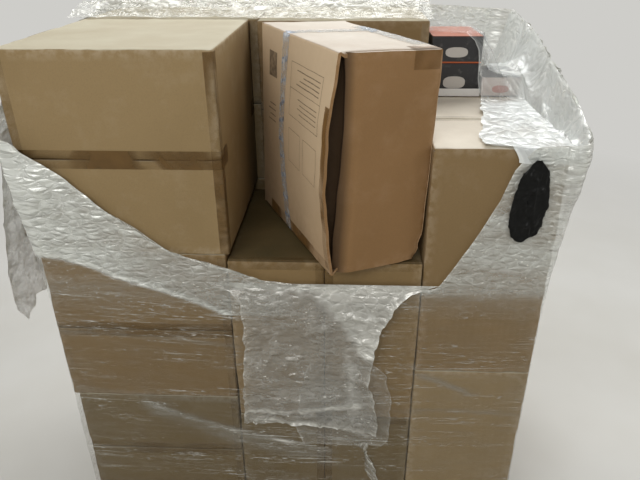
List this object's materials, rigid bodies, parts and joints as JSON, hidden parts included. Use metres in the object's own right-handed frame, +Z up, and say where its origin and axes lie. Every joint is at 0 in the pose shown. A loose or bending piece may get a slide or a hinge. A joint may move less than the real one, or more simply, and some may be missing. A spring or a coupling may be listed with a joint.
{
  "type": "shrink wrapped pallet load",
  "caption": "Loaded wooden pallet: taped cartons stacked in columns and wound in stretch film that has torn open at the front, with a turned carton leaning on top.",
  "frame": {"origin": "centre of the pallet's footprint at floor level, on the underside of its middle skid", "axes": "+X along the pallet's long side, to the right as seen from the torn front; +Y from that front to the back; +Z up"},
  "size_m": [1.3515, 0.9122, 1.4451],
  "materials": {
    "kraft_board": "matt brown kraft board",
    "brown_tape": "glossy brown packing tape",
    "clear_tape": "clear packing tape with a pale blue print",
    "pallet_wood": "rough sawn softwood",
    "dark_print": "dark glossy printed board",
    "pale_print": "pale printed board",
    "stretch_film": "clear, creased and glossy stretch film",
    "black_film": "crumpled black film"
  },
  "bodies": {
    "root": {"carton_back_centre_base": "kraft_board", "carton_back_centre_middle": "kraft_board", "carton_back_centre_top": "kraft_board", "carton_back_left_base": "kraft_board", "carton_back_left_middle": "kraft_board", "carton_back_left_top": "kraft_board", "carton_back_right_base": "kraft_board", "carton_back_right_top": "kraft_board", "carton_centre_base": "kraft_board", "carton_centre_top": "kraft_board", "carton_leaning": "kraft_board", "carton_left_base": "kraft_board", "carton_left_middle": "kraft_board", "carton_left_top": "kraft_board", "carton_right_base": "kraft_board", "carton_right_top": "kraft_board", "film_black_scrap": "black_film", "film_loose_wrap": "stretch_film", "film_tight_wrap": "stretch_film", "film_torn_end": "stretch_film", "pallet_blocks_back": "pallet_wood", "pallet_blocks_front": "pallet_wood", "pallet_blocks_middle": "pallet_wood", "pallet_deck_board_1": "pallet_wood", "pallet_deck_board_2": "pallet_wood", "pallet_deck_board_3": "pallet_wood", "pallet_deck_board_4": "pallet_wood", "pallet_deck_board_5": "pallet_wood", "pallet_skid_back": "pallet_wood", "pallet_skid_front": "pallet_wood", "pallet_skid_middle": "pallet_wood", "pallet_stringer_left": "pallet_wood", "pallet_stringer_middle": "pallet_wood", "pallet_stringer_right": "pallet_wood", "retail_pack_lower": "dark_print", "retail_pack_pale": "pale_print", "retail_pack_upper": "dark_print", "retail_tray": "dark_print", "tape_back_centre_base": "brown_tape", "tape_back_centre_middle": "brown_tape", "tape_back_centre_top": "brown_tape", "tape_back_left_base": "brown_tape", "tape_back_left_middle": "brown_tape", "tape_back_left_top": "brown_tape", "tape_back_right_base": "brown_tape", "tape_back_right_top": "brown_tape", "tape_centre_base": "brown_tape", "tape_centre_top": "brown_tape", "tape_left_base": "brown_tape", "tape_left_middle": "brown_tape", "tape_left_top": "brown_tape", "tape_patch": "brown_tape", "tape_printed_band": "clear_tape", "tape_right_base": "brown_tape", "tape_right_top": "brown_tape"}
  },
  "joints": []
}
